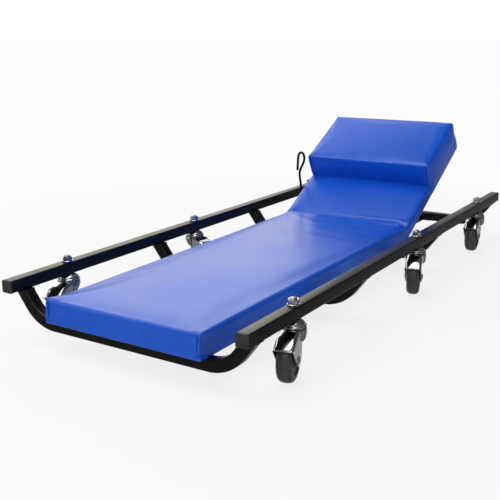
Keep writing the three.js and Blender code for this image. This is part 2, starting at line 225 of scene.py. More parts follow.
VINYL = make_vinyl()
POWDER = make_powder()
PLASTIC = make_plastic()
CHROME = make_metal("fork_chrome", (196, 197, 199), (172, 174, 178), (0.06, 0.13), 30.0)
ZINC = make_metal("zinc_plate", (206, 208, 210), (168, 170, 174), (0.14, 0.26), 70.0)
BOLT = make_metal("bolt_steel", (70, 72, 75), (44, 45, 48), (0.25, 0.4), 80.0)
ROD = make_powder("black_rod", (8, 8, 9), (14, 14, 15), (0.18, 0.28))
PLY = make_ply()
RUBBER = make_rubber()


# ------------------------------------------------------------------ mesh helpers
def smooth01(t):
    t = max(0.0, min(1.0, t))
    return t * t * (3 - 2 * t)


def mesh(name, verts, faces, mat, smooth=True, sharp=None):
    """verts in millimetres."""
    me = bpy.data.meshes.new(name)
    me.from_pydata([tuple(c * MM for c in v) for v in verts], [], faces)
    me.validate()
    bm = bmesh.new()
    bm.from_mesh(me)
    bmesh.ops.remove_doubles(bm, verts=bm.verts, dist=1e-7)
    bmesh.ops.recalc_face_normals(bm, faces=bm.faces)
    bm.to_mesh(me)
    bm.free()
    for p in me.polygons:
        p.use_smooth = smooth
    o = bpy.data.objects.new(name, me)
    scene.collection.objects.link(o)
    me.materials.append(mat)
    if smooth and sharp is not None:
        me.set_sharp_from_angle(angle=math.radians(sharp))
    return o


def join(name, objs):
    """Several meshes as one object; the first one's materials come first."""
    bpy.ops.object.select_all(action="DESELECT")
    for o in objs:
        o.select_set(True)
    bpy.context.view_layer.objects.active = objs[0]
    bpy.ops.object.join()
    objs[0].name = name
    objs[0].data.name = name
    return objs[0]


def sweep(rings, closed_path=False, cap=True):
    """Rings of equal length joined into a skin."""
    n = len(rings[0])
    verts = [p for r in rings for p in r]
    faces = []
    m = len(rings)
    for i in range(m if closed_path else m - 1):
        a, b = i * n, ((i + 1) % m) * n
        for j in range(n):
            k = (j + 1) % n
            faces.append((a + j, a + k, b + k, b + j))
    if cap and not closed_path:
        faces.append(tuple(range(n))[::-1])
        faces.append(tuple(range((m - 1) * n, m * n)))
    return verts, faces


def rounded_square(half_a, half_b, r, seg=4):
    pts = []
    for cx, cy, a0 in ((half_a - r, half_b - r, 0), (-half_a + r, half_b - r, 90),
                       (-half_a + r, -half_b + r, 180), (half_a - r, -half_b + r, 270)):
        for s in range(seg + 1):
            a = math.radians(a0 + 90 * s / seg)
            pts.append((cx + r * math.cos(a), cy + r * math.sin(a)))
    return pts


def lathe(profile, seg, axis="Z", centre=(0, 0, 0), wobble=None):
    """profile: (radius, height) from one end to the other, both ends on the axis."""
    verts, faces, ring = [], [], []
    for (r, h) in profile:
        if r < 1e-6:
            ring.append([len(verts)])
            verts.append((0, 0, h))
        else:
            start = len(verts)
            for s in range(seg):
                a = 2 * math.pi * s / seg
                verts.append((r * math.cos(a), r * math.sin(a), h))
            ring.append(list(range(start, start + seg)))
    for a, b in zip(ring, ring[1:]):
        if len(a) == 1 and len(b) == 1:
            continue
        for s in range(seg):
            t = (s + 1) % seg
            if len(a) == 1:
                faces.append((a[0], b[t], b[s]))
            elif len(b) == 1:
                faces.append((a[s], a[t], b[0]))
            else:
                faces.append((a[s], a[t], b[t], b[s]))
    out = []
    for x, y, z in verts:
        if axis == "X":
            x, y, z = z, x, y
        elif axis == "Y":
            x, y, z = x, z, y
        out.append((x + centre[0], y + centre[1], z + centre[2]))
    return out, faces


def tube(points, r, sides=16, round_ends=True):
    """A round bar along points, with rotation-minimising rings and domed ends."""
    P = [Vector(p) for p in points]
    tang = []
    for i in range(len(P)):
        a, b = P[max(i - 1, 0)], P[min(i + 1, len(P) - 1)]
        tang.append((b - a).normalized())
    up = Vector((0, 0, 1)) if abs(tang[0].z) < 0.9 else Vector((0, 1, 0))
    nrm = (up - tang[0] * up.dot(tang[0])).normalized()
    rings, radii = [], [r] * len(P)
    if round_ends:
        ends = []
        for end, d in ((0, -1), (-1, 1)):
            c, t = P[end], tang[end] * d
            ends.append([(c + t * (r * math.sin(a)), r * math.cos(a)) for a in (0.5, 0.95, 1.3)])
        P = [q[0] for q in reversed(ends[0])] + P + [q[0] for q in ends[1]]
        radii = [q[1] for q in reversed(ends[0])] + radii + [q[1] for q in ends[1]]
        tang = [tang[0]] * 3 + tang + [tang[-1]] * 3
    for p, t, rr in zip(P, tang, radii):
        nrm = (nrm - t * nrm.dot(t)).normalized()
        bi = t.cross(nrm)
        rings.append([tuple(p + (nrm * math.cos(2 * math.pi * s / sides) + bi * math.sin(2 * math.pi * s / sides)) * rr)
                      for s in range(sides)])
    return sweep(rings)


def merge(*parts):
    verts, faces = [], []
    for v, f in parts:
        k = len(verts)
        verts += list(v)
        faces += [tuple(i + k for i in q) for q in f]
    return verts, faces


def box_part(x0, x1, y0, y1, z0, z1):
    v = [(x, y, z) for x in (x0, x1) for y in (y0, y1) for z in (z0, z1)]
    f = [(0, 1, 3, 2), (4, 6, 7, 5), (0, 4, 5, 1), (2, 3, 7, 6), (0, 2, 6, 4), (1, 5, 7, 3)]
    return v, f


def bevel(o, width, seg=2, angle=35):
    m = o.modifiers.new("bevel", "BEVEL")
    m.width, m.segments, m.limit_method, m.angle_limit = width * MM, seg, "ANGLE", math.radians(angle)
    m.harden_normals = False
    return o


# ------------------------------------------------------------------ frame tubes
def build_rail(side):
    s = 1 if side == "right" else -1
    half = RAIL / 2
    ys = [-HALF_L + 3.15 + i * (2 * HALF_L - 6.3) / 48 for i in range(49)]
    sec = rounded_square(half, half, 2.4, 4)
    rings = [[(s * RAIL_X + a, y, RAIL_TOP - half + b) for a, b in sec] for y in ys]
    o = mesh(f"{side}_rail_tube", *sweep(rings), POWDER, sharp=50)
    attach(o, "root")
    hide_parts(f"{side}_rail")
    # end plugs: a flanged, slightly crowned face with a softened rim
    for end, tag in ((-1, "foot"), (1, "head")):
        prof = [(0.0, 0.0), (0.62, 0.0), (0.9, 0.0), (0.985, 0.35), (1.0, 0.9), (1.0, 2.75), (0.975, 2.95)]
        rings = []
        for k, (f, d) in enumerate(prof[1:]):
            h = half * f
            r = min(2.4, 2.4 * f)
            y = end * (HALF_L - d)
            if k == 0:
                y = end * (HALF_L - 0.35)
            elif k == 1:
                y = end * (HALF_L - 0.3)
            rings.append([(s * RAIL_X + a, y, RAIL_TOP - half + b) for a, b in rounded_square(h, h, r, 4)])
        cap = mesh(f"{side}_rail_plug_{tag}", *sweep(rings), PLASTIC, sharp=60)
        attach(cap, "root")
        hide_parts(f"{side}_rail_cap_{tag}")


def cross_path():
    """Centre line of a bent cross member in x-z, left to right, and its direction."""
    rc = CROSS_R - CROSS / 2
    cz = CROSS_BOTTOM + CROSS_R
    right = []
    for k in range(15):
        a = CROSS_RISE * k / 14
        right.append((CROSS_FLAT + rc * math.sin(a), cz - rc * math.cos(a), a))
    x, z, a = right[-1]
    top = RAIL_TOP - RAIL - 0.15
    for f in (0.5, 0.94):
        d = (top - z) / math.sin(a)
        right.append((x + d * f * math.cos(a), z + d * f * math.sin(a), a))
    flat = [(-CROSS_FLAT + 2 * CROSS_FLAT * k / 16, CROSS_BOTTOM + CROSS / 2, 0.0) for k in range(1, 16)]
    left = [(-x, z, -a) for x, z, a in reversed(right)]
    return left + flat + right, top


def build_cross(i):
    y0 = CROSS_Y[i]
    path, top = cross_path()
    h = CROSS / 2
    sec = rounded_square(h, h, 2.3, 4)      # (across in y, outward)
    rings = []
    for x, z, a in path:
        nx, nz = -math.sin(a), math.cos(a)  # inward/up normal of the centre line
        rings.append([(x + nx * q, y0 + p, z + nz * q) for p, q in sec])

    def cut(ring_at, a):
        x, z, _ = ring_at
        nx, nz = -math.sin(a), math.cos(a)
        out = []
        for p, q in sec:
            px, pz = x + nx * q, z + nz * q
            d = (top - pz) / math.sin(a)
            out.append((px + d * math.cos(a), y0 + p, top))
        return out
    x, z, a = path[-1]
    # the last rings are slid along the tube until they lie in the rail's underside
    def slide(ring_at, share):
        x, z, a = ring_at
        nx, nz = -math.sin(a), math.cos(a)
        out = []
        for p, q in sec:
            px, pz = x + nx * q, z + nz * q
            d = (top - pz) / math.sin(a) * share
            out.append((px + d * math.cos(a), y0 + p, pz + d * math.sin(a)))
        return out
    last = path[-3]
    rings = rings[:-2] + [slide(last, 0.5), slide(last, 1.0)]
    first = path[2]
    rings = [slide(first, 1.0), slide(first, 0.5)] + rings[2:]
    o = mesh(f"bent_cross_member_{i + 1}", *sweep(rings), POWDER, sharp=50)
    # weld beads round both ends, under the rails
    rnd = random.Random(11 + i)
    beads = []
    for sgn, ring in ((-1, rings[0]), (1, rings[-1])):
        cx = sum(p[0] for p in ring) / len(ring)
        loop = []
        # resample the outline evenly
        R = [Vector((p[0], p[1])) for p in ring]
        per = [(R[(k + 1) % len(R)] - R[k]).length for k in range(len(R))]
        total = sum(per)
        n = 84
        for s in range(n):
            d = total * s / n
            k = 0
            while d > per[k]:
                d -= per[k]
                k += 1
            q = R[k].lerp(R[(k + 1) % len(R)], d / per[k])
            c = Vector((cx, y0))
            q = q + (q - c).normalized() * 0.3
            loop.append(q)
        rings_b = []
        for s in range(n):
            q, a, b = loop[s], loop[s - 1], loop[(s + 1) % n]
            t = (b - a).normalized()
            out = Vector((t.y, -t.x))
            if out.dot(q - Vector((cx, y0))) < 0:
                out = -out
            rr = 1.15 + 0.2 * math.sin(2 * math.pi * s / 3.0) + rnd.uniform(-0.1, 0.1)
            ring_b = []
            for j in range(8):
                ang = 2 * math.pi * j / 8
                px = q.x + out.x * rr * math.cos(ang)
                px = max(min(px, RAIL_X + 9.2), -RAIL_X - 9.2)
                pz = top - 0.1 + rr * 0.9 * math.sin(ang)
                ring_b.append((px, q.y + out.y * rr * math.cos(ang), min(pz, RAIL_TOP - RAIL + 0.6)))
            rings_b.append(ring_b)
        beads.append(sweep(rings_b, closed_path=True))
    w = mesh(f"weld_beads_{i + 1}", *merge(*beads), POWDER)
    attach(o, "root")
    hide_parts(f"cross_member_{i + 1}")
    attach(w, "root")


for side in ("right", "left"):
    build_rail(side)
for i in range(4):
    build_cross(i)


# ------------------------------------------------------------------ prop rod
def fillet(points, radii, seg=10):
    P = [Vector(p) for p in points]
    out = [P[0]]
    for i in range(1, len(P) - 1):
        a, b, c = P[i - 1], P[i], P[i + 1]
        u, v = (a - b).normalized(), (c - b).normalized()
        half = u.angle(v) / 2
        r = radii[i - 1]
        mid = (u + v).normalized()
        centre = b + mid * (r / math.sin(half))
        p0 = b + u * (r / math.tan(half)) - centre
        p1 = b + v * (r / math.tan(half)) - centre
        axis = p0.cross(p1).normalized()
        sweep_a = p0.angle(p1)
        for k in range(seg + 1):
            out.append(centre + Matrix.Rotation(sweep_a * k / seg, 3, axis) @ p0)
    out.append(P[-1])
    return out


def catmull(pts, per=5):
    P = [pts[0] * 2 - pts[1]] + list(pts) + [pts[-1] * 2 - pts[-2]]
    out = []
    for i in range(1, len(P) - 2):
        for k in range(per):
            t = k / per
            a, b, c, d = P[i - 1], P[i], P[i + 1], P[i + 2]
            out.append(0.5 * ((2 * b) + (c - a) * t + (2 * a - 5 * b + 4 * c - d) * t * t + (3 * b - a - 3 * c + d) * t ** 3))
    out.append(P[-2])
    return out


def build_rod():
    Y, Z, lean, up_lean = 284.5, 34.5, math.radians(10), math.radians(15)
    V = lambda x, up, le=0.0: Vector((x, Y - up * math.sin(le), Z + up * math.cos(le)))
    crank = 91.6
    base = fillet([V(70, 0), V(46, 0), V(46, crank, -up_lean), V(-46, crank, -up_lean), V(-46, 0), V(-152.6, 0), V(-152.6, 70, lean)],
                  [8, 8, 8, 8, 9], 10)
    hook = [(-152.7, 80), (-153.0, 88), (-153.2, 95), (-153.8, 104), (-153.7, 112.9), (-150.9, 122.8), (-147.3, 129), (-143.7, 135.5), (-139.9, 144),
            (-139.2, 153.2), (-141.3, 158.5), (-145, 161.1), (-149.3, 159.8), (-152.5, 154.5), (-155.1, 144.1), (-156.6, 131.9), (-158.2, 122.1)]
    hook = catmull([V(x, u, lean) for x, u in hook], 4)
    o = mesh("bent_prop_rod", *tube(base + hook, 2.6, 18), ROD)
    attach(o, "prop")
    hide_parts("prop_rod")


build_rod()


# ------------------------------------------------------------------ casters
def thread(r, z0, z1, pitch, seg=32):
    """Threaded shank as a true helix skin, closed at both ends."""
    steps = int(round((z1 - z0) / pitch * seg))
    rows = []
    # profile points per pitch: a vee of depth d
    d = pitch * 0.5
    n_rows = int((z1 - z0) / pitch * 4)
    verts, faces, rings = [], [], []
    for k in range(n_rows + 1):
        z = z0 + (z1 - z0) * k / n_rows
        ring = []
        for s in range(seg):
            a = 2 * math.pi * s / seg
            ph = ((z - z0) / pitch - s / seg) % 1.0
            rr = r - d * abs(2 * ph - 1) * 0.9
            if k in (0, n_rows):
                rr = r - d
            ring.append((rr * math.cos(a), rr * math.sin(a), z))
        rings.append(ring)
    return sweep(rings)


def hex_nut(z0, z1, across_corner, bore, seg=48):
    """Hexagon with chamfered corners and a countersunk bore, as one closed ring skin."""
    rows = [(0.90, z0, False), (1.0, z0 + 0.7, True), (1.0, z1 - 1.1, True), (0.86, z1, False)]
    rings = []
    flat = math.cos(math.pi / 6)

    def radius(a):
        k = math.fmod(a, math.pi / 3)
        return across_corner * flat / math.cos(k - math.pi / 6)
    for f, z, hexed in rows:
        ring = []
        for s in range(seg):
            a = 2 * math.pi * s / seg
            rr = radius(a)
            if not hexed:
                rr = min(rr, across_corner * f)
            else:
                rr = min(rr, across_corner * 0.985)
            ring.append((rr * math.cos(a), rr * math.sin(a), z))
        rings.append(ring)
    for rr, z in ((bore + 0.9, z1), (bore, z1 - 0.8), (bore, z0 + 0.8), (bore + 0.9, z0)):
        rings.append([(rr * math.cos(2 * math.pi * s / seg), rr * math.sin(2 * math.pi * s / seg), z) for s in range(seg)])
    return sweep(rings, closed_path=True)


def fork_parts():
    """The pressed yoke in its own frame: kingpin on Z, wheel trailing toward -Y."""
    t, Zw = -TRAIL, WHEEL_R
    hood, H, low = 35.5, 13.9, 36.5
    web = [(-8.0 - 1.2 * k, 68.75) for k in range(8)]
    b0 = (t - hood * math.cos(math.radians(82)), Zw + hood * math.sin(math.radians(82)))
    web.append(((web[-1][0] + b0[0]) / 2, 68.5))
    for k in range(14):
        d = math.radians(82 - (82 - low) * k / 13)
        web.append((t - hood * math.cos(d), Zw + hood * math.sin(d)))
    n = len(web)
    edge_key = [(-6.9, 60.0), (-6.8, 52), (-6.8, 44), (-6.9, 35), (-8.0, 29.5), (-9.8, 25.4), (-12.6, 22.3), (-16.4, 20.6), (-20.6, 20.3), (-24.6, 21.3),
                (-28.6, 24.4), (-34.0, 29.6), (-40.0, 35.8), (-46.5, 43.6),
                (t - hood * math.cos(math.radians(low)) + 0.8, Zw + hood * math.sin(math.radians(low)) - 0.9)]
    E = [Vector(p) for p in edge_key]
    seg = [(b - a).length for a, b in zip(E, E[1:])]
    total = sum(seg)
    W = [Vector(p) for p in web]
    wl = [0]
    for a, b in zip(W, W[1:]):
        wl.append(wl[-1] + (b - a).length)
    rings = []
    rows = 12
    for i in range(n):
        d = total * (wl[i] / wl[-1]) ** 0.92
        k = 0
        while k < len(seg) - 1 and d > seg[k]:
            d -= seg[k]
            k += 1
        q = E[k].lerp(E[k + 1], min(d / seg[k], 1.0))
        p = W[i]
        flare = max(0.0, (i - (n - 4)) / 3) ** 2 * 0.7
        half, rad = H + flare, 4.6
        inward = (q - p).normalized()
        length = (q - p).length
        side_r = []
        for j in range(rows):
            f = j / (rows - 1)
            side_r.append((half, p + inward * (rad + (length - rad) * (1 - f)) if length > rad else p + inward * (length * (1 - f))))
        for j in range(1, 6):
            a = math.pi / 2 * j / 6
            side_r.append((half - rad + rad * math.cos(a), p + inward * min(rad * (1 - math.sin(a)), length)))
        top = [((half - rad) * (1 - 2 * j / 6), p) for j in range(7)]
        ring = side_r + top + [(-x, v) for x, v in reversed(side_r)]
        rings.append([(x, v[0], v[1]) for x, v in ring])
    m = len(rings[0])
    verts = [v for r in rings for v in r]
    faces = []
    for i in range(n - 1):
        for j in range(m - 1):
            faces.append((i * m + j, i * m + j + 1, (i + 1) * m + j + 1, (i + 1) * m + j))
    return verts, faces, rings


def fork_crown():
    """Round crown and the skirt round its leading side, one closed sheet."""
    rings = []
    n = 44
    for k in range(n + 1):
        th = math.radians(-33 + 246 * k / n)
        # the skirt is deepest where it meets the cheeks
        side = abs(math.degrees(th) - 90) / 123
        low = 61.6 - 10.0 * smooth01((side - 0.55) / 0.45)
        prof = [(4.4, 68.9), (13.6, 68.9), (15.6, 68.7), (17.2, 68.0), (18.1, 66.8), (18.4, 65.2), (18.4, (65.2 + low) / 2), (18.35, low + 0.5), (18.0, low), (17.1, low),
                (16.8, low + 0.6), (16.8, (65.2 + low) / 2), (16.7, 65.4), (15.9, 66.8), (14.4, 67.2), (4.4, 67.2)]
        rings.append([(r * math.cos(th), r * math.sin(th), z) for r, z in prof])
    back = []
    for k in range(17):
        th = math.radians(213 + 114 * k / 16)
        prof = [(4.4, 68.9), (13.6, 68.9), (15.6, 68.7), (17.2, 68.0), (17.9, 67.2), (16.6, 66.9), (14.4, 67.1), (4.4, 67.1)]
        back.append([(r * math.cos(th), r * math.sin(th), z) for r, z in prof])
    return merge(sweep(rings), sweep(back))


def shell(name, verts, faces, mat, thick):
    me = bpy.data.meshes.new(name)
    me.from_pydata([tuple(c * MM for c in v) for v in verts], [], faces)
    bm = bmesh.new()
    bm.from_mesh(me)
    bmesh.ops.remove_doubles(bm, verts=bm.verts, dist=2e-5)
    bmesh.ops.dissolve_degenerate(bm, dist=1e-5, edges=bm.edges)
    bmesh.ops.recalc_face_normals(bm, faces=bm.faces)
    # outward is away from the wheel
    c = Vector((0, -TRAIL * MM * 0.6, 0.045))
    score = sum((f.calc_center_median() - c).dot(f.normal) * f.calc_area() for f in bm.faces)
    if score < 0:
        bmesh.ops.reverse_faces(bm, faces=bm.faces)
    bm.to_mesh(me)
    bm.free()
    for p in me.polygons:
        p.use_smooth = True
    o = bpy.data.objects.new(name, me)
    scene.collection.objects.link(o)
    me.materials.append(mat)
    m = o.modifiers.new("sheet", "SOLIDIFY")
    m.thickness, m.offset, m.use_even_offset = thick * MM, -1.0, False
    m.use_quality_normals = True
    return o


def bake(o):
    """Modifiers applied, so the mesh is what shows."""
    dg = bpy.context.evaluated_depsgraph_get()
    me = bpy.data.meshes.new_from_object(o.evaluated_get(dg))
    o.modifiers.clear()
    o.data = me
    return o


def build_fork():
    verts, faces, rings = fork_parts()
    o = bake(shell("fork", verts, faces, CHROME, 1.7))
    extra = []
    # rolled rim along the hood's lower edge, dying out in the cheeks
    last = [Vector(p) for p in rings[-1]]
    extra.append(tube([tuple(p) for p in last[10:-10]], 0.8, 10))
    extra.append(fork_crown())
    # raised race cup on the crown, with a rolled lip, dark gap above it
    cup = [(0.0, 66.6), (14.6, 66.6), (16.2, 67.2), (17.3, 67.9), (17.6, 68.6), (17.1, 69.1), (16.2, 68.95), (15.2, 68.4), (5.0, 68.3), (0.0, 68.3)]
    extra.append(lathe(cup, 40))
    # bosses pressed out round the axle
    for s in (1, -1):
        prof = [(0.0, s * 13.6), (8.6, s * 13.6), (8.4, s * 14.0), (7.0, s * 14.4), (0.0, s * 14.45)]
        extra.append(lathe(prof, 28, "X", (0, -TRAIL, WHEEL_R)))
    e = mesh("fork_extra", *merge(*extra), CHROME, sharp=55)
    return join("fork_master", [o, e])


def build_wheel():
    w, R = 10.7, WHEEL_R
    half = [(3.4, -w - 0.9), (7.6, -w - 0.9), (8.8, -w - 0.7), (9.4, -w), (9.7, -w + 1.6), (10.4, -w + 2.4), (13, -w + 2.6), (19.6, -w + 2.4), (20.6, -w + 1.9),
            (21.2, -w + 0.9), (21.9, -w + 0.2), (23.0, -w), (25.6, -w + 0.05), (27.6, -w + 0.7), (29.2, -w + 1.9), (30.4, -w + 3.5), (31.1, -w + 5.4), (31.4, -w + 7.6), (31.5, -0.45), (31.62, 0)]
    prof = half + [(r, -x) for r, x in reversed(half[:-1])]
    v, f = lathe(prof, 64, "X", (0, -TRAIL, WHEEL_R))
    n = len(prof)
    # close through the bore
    seg = 64
    for s in range(seg):
        t = (s + 1) % seg
        f.append((s, t, (n - 1) * seg + t, (n - 1) * seg + s))
    return mesh("wheel_master", v, f, RUBBER, sharp=40)


def build_axle():
    a = 14.4
    prof = [(0, -a - 1.85), (1.6, -a - 1.8), (3.0, -a - 1.5), (4.2, -a - 0.95), (4.9, -a - 0.3), (5.0, -a), (3.0, -a), (3.0, a), (5.0, a), (4.9, a + 0.3),
            (4.2, a + 0.95), (3.0, a + 1.5), (1.6, a + 1.8), (0, a + 1.85)]
    return mesh("axle_master", *lathe(prof, 28, "X", (0, -TRAIL, WHEEL_R)), ZINC, sharp=50)


def build_stem():
    # lower head, kingpin, race cap with a groove and a dome up to the rail
    prof = [(0, 60.4), (6.6, 60.4), (7.8, 61.2), (8, 62.4), (7.6, 64.2), (4, 64.3), (4, 69.3), (16.6, 69.3), (17.7, 69.8), (17.9, 70.8), (17.4, 71.7),
            (16.2, 72.1), (15.9, 72.6), (16.0, 73.1), (15.2, 74.6), (13.4, 76.2), (11.4, 77.3), (9.6, 78.2), (9.2, 78.75), (5, 78.75), (4.6, 79.5), (4.6, 98.2), (0, 98.2)]
    cap = lathe(prof, 48)
    th = thread(5.0, 97.5, 108.2, 1.25)
    tip = lathe([(0, 107.9), (4.1, 107.9), (3.6, 108.4), (0, 108.45)], 32)
    return mesh("stem_master", *merge(cap, th, tip), ZINC, sharp=45)


def build_nut():
    washer = [(5.6, 98.15), (8.6, 98.15), (9.0, 98.5), (9.0, 99.3), (8.5, 99.8), (5.6, 99.8)]
    seg = 40
    rings = [[(r * math.cos(2 * math.pi * s / seg), r * math.sin(2 * math.pi * s / seg), z) for s in range(seg)] for r, z in washer]
    w = sweep(rings, closed_path=True)
    return mesh("nut_master", *merge(w, hex_nut(99.9, 106.6, 8.2, 4.75)), ZINC, sharp=30)


masters = {"fork": (build_fork(), "fork_chrome"), "wheel": (build_wheel(), "wheel_rubber"),
           "axle": (build_axle(), "zinc_plate"), "stem": (build_stem(), "zinc_plate"), "nut": (build_nut(), "zinc_plate")}
for side, n, y, yaw in CASTERS:
    s = 1 if side == "right" else -1
    base = f"{side}_caster_{n}"
    place = Matrix.Translation((s * RAIL_X * MM, y * MM, 0))
    turn = place @ Matrix.Rotation(math.radians(yaw), 4, "Z")
    for kind, (m, slot_name) in masters.items():
        o = bpy.data.objects.new(f"{base}_{kind}_fine", m.data)
        scene.collection.objects.link(o)
        o.matrix_world = place if kind in ("stem", "nut") else turn
        if kind == "nut":
            o.matrix_world = place @ Matrix.Rotation(math.radians(17 * n + 23 * (s > 0)), 4, "Z")
        body = {"fork": f"{base}_swivel", "axle": f"{base}_swivel", "wheel": f"{base}_roller"}.get(kind, "root")
        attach(o, body)
        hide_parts(f"{base}_{kind}")
for m, _ in masters.values():
    bpy.data.objects.remove(m)


# ------------------------------------------------------------------ upholstery
def head_point(along, up):
    c, s = math.cos(TILT), math.sin(TILT)
    return (HINGE[0] + along * c - up * s, HINGE[1] + along * s + up * c)


def grid_block(stations, columns, rows):
    """A closed box grid. stations along, columns across, rows up; returns index keys and quads.
    Only the surface points are made: key (i, j, k)."""
    ni, nj, nk = len(stations), len(columns), len(rows)
    keys, faces = {}, []

    def vid(i, j, k):
        return keys.setdefault((i, j, k), len(keys))
    for i in range(ni - 1):
        for j in range(nj - 1):
            faces.append((vid(i, j, 0), vid(i, j + 1, 0), vid(i + 1, j + 1, 0), vid(i + 1, j, 0)))
            faces.append((vid(i, j, nk - 1), vid(i + 1, j, nk - 1), vid(i + 1, j + 1, nk - 1), vid(i, j + 1, nk - 1)))
    for i in range(ni - 1):
        for k in range(nk - 1):
            faces.append((vid(i, 0, k), vid(i + 1, 0, k), vid(i + 1, 0, k + 1), vid(i, 0, k + 1)))
            faces.append((vid(i, nj - 1, k), vid(i, nj - 1, k + 1), vid(i + 1, nj - 1, k + 1), vid(i + 1, nj - 1, k)))
    for j in range(nj - 1):
        for k in range(nk - 1):
            faces.append((vid(0, j, k), vid(0, j, k + 1), vid(0, j + 1, k + 1), vid(0, j + 1, k)))
            faces.append((vid(ni - 1, j, k), vid(ni - 1, j + 1, k), vid(ni - 1, j + 1, k + 1), vid(ni - 1, j, k + 1)))
    return keys, faces


def spread(a, b, coarse, ends=(), fine=1.2, grow=1.35):
    """Positions from a to b: fine steps near the ends given, growing to coarse."""
    left, right = [a], [b]
    step = fine if "a" in ends else coarse
    while left[-1] < (a + b) / 2:
        left.append(left[-1] + step)
        step = min(coarse, step * grow)
    step = fine if "b" in ends else coarse
    while right[-1] > (a + b) / 2:
        right.append(right[-1] - step)
        step = min(coarse, step * grow)
    left, right = left[:-1], right[:-1]
    out = left + sorted(right)
    clean = [out[0]]
    for x in out[1:]:
        if x - clean[-1] > fine * 0.6:
            clean.append(x)
    clean[-1] = b
    return clean


def round_box(p, lo, hi, r):
    """Point p on the surface of a box moved onto the box's rounded form. r is one radius, for all edges."""
    q = [min(max(p[a], lo[a] + r[a]), hi[a] - r[a]) for a in range(3)]
    d = [(p[a] - q[a]) / r[a] if r[a] > 0 else 0 for a in range(3)]
    m = max(abs(x) for x in d)
    n = math.sqrt(sum(x * x for x in d))
    if n < 1e-9:
        return tuple(p)
    # cube face to sphere
    s = m / n
    return tuple(q[a] + d[a] * s * r[a] for a in range(3))


W = 136.0
DECK_T, HEAD_T = 37.0, 22.0
L_DECK = 689.5 - 20.0            # foot end to the crease along the top


def pad_map(s, t):
    """s: along the pad from the foot end, measured on the top; t: 0 under, 1 top. To (y, z)."""
    top_len = 180.4 + 509.1
    if s <= top_len:
        f = s / top_len
        yt, zt = -509.1 + s, 80.8
        yb, zb = -509.1 + (159.6 + 509.1) * f, 43.55
    else:
        f = (s - top_len) / (HEAD_END - top_len)
        a_top = 38.2 + (HEAD_ALONG - 38.2) * f
        a_bot = 1.6 + (HEAD_ALONG - 1.6) * f
        yt, zt = head_point(a_top, 25.1)
        yb, zb = head_point(a_bot, 2.88)
    return (yb + (yt - yb) * t, zb + (zt - zb) * t)


HEAD_ALONG = 196.0               # the cover goes on under the pillow block and ends there
HEAD_END = 689.5 + (HEAD_ALONG - 38.2)


def cloth_swell(o, pin, cap, frames=20, pressure=4.0, seed_free=True):
    """Cloth under light inner pressure with the pinned points held; every point's travel is capped, then applied."""
    import numpy as np
    before = np.zeros(len(o.data.vertices) * 3)
    o.data.vertices.foreach_get("co", before)
    before = before.reshape(-1, 3)
    g = o.vertex_groups.new(name="pin")
    for i in range(len(o.data.vertices)):
        g.add([i], pin(o.data.vertices[i].co / MM), "REPLACE")
    m = o.modifiers.new("cloth", "CLOTH")
    st = m.settings
    st.quality = 6
    st.mass = 0.25
    st.tension_stiffness = st.compression_stiffness = 30
    st.shear_stiffness = 12
    st.bending_stiffness = 2.0
    st.use_pressure = True
    st.uniform_pressure_force = pressure
    st.vertex_group_mass = "pin"
    st.effector_weights.gravity = 0
    m.collision_settings.use_collision = False
    m.point_cache.frame_start, m.point_cache.frame_end = 1, frames
    for f in range(1, frames + 1):
        scene.frame_set(f)
    dg = bpy.context.evaluated_depsgraph_get()
    ev = o.evaluated_get(dg)
    after = np.zeros(len(before) * 3)
    ev.data.vertices.foreach_get("co", after)
    after = after.reshape(-1, 3)
    d = after - before
    size = np.linalg.norm(d, axis=1)
    lim = cap * MM
    k = np.where(size > 1e-9, lim * np.tanh(size / lim) / np.maximum(size, 1e-9), 0)
    out = before + d * k[:, None]
    o.modifiers.remove(m)
    o.vertex_groups.remove(g)
    o.data.vertices.foreach_set("co", out.ravel())
    o.data.update()
    scene.frame_set(1)
    print("cloth", o.name, "moved up to mm", round(float(size.max() / MM), 2), "mean", round(float(size.mean() / MM), 2))


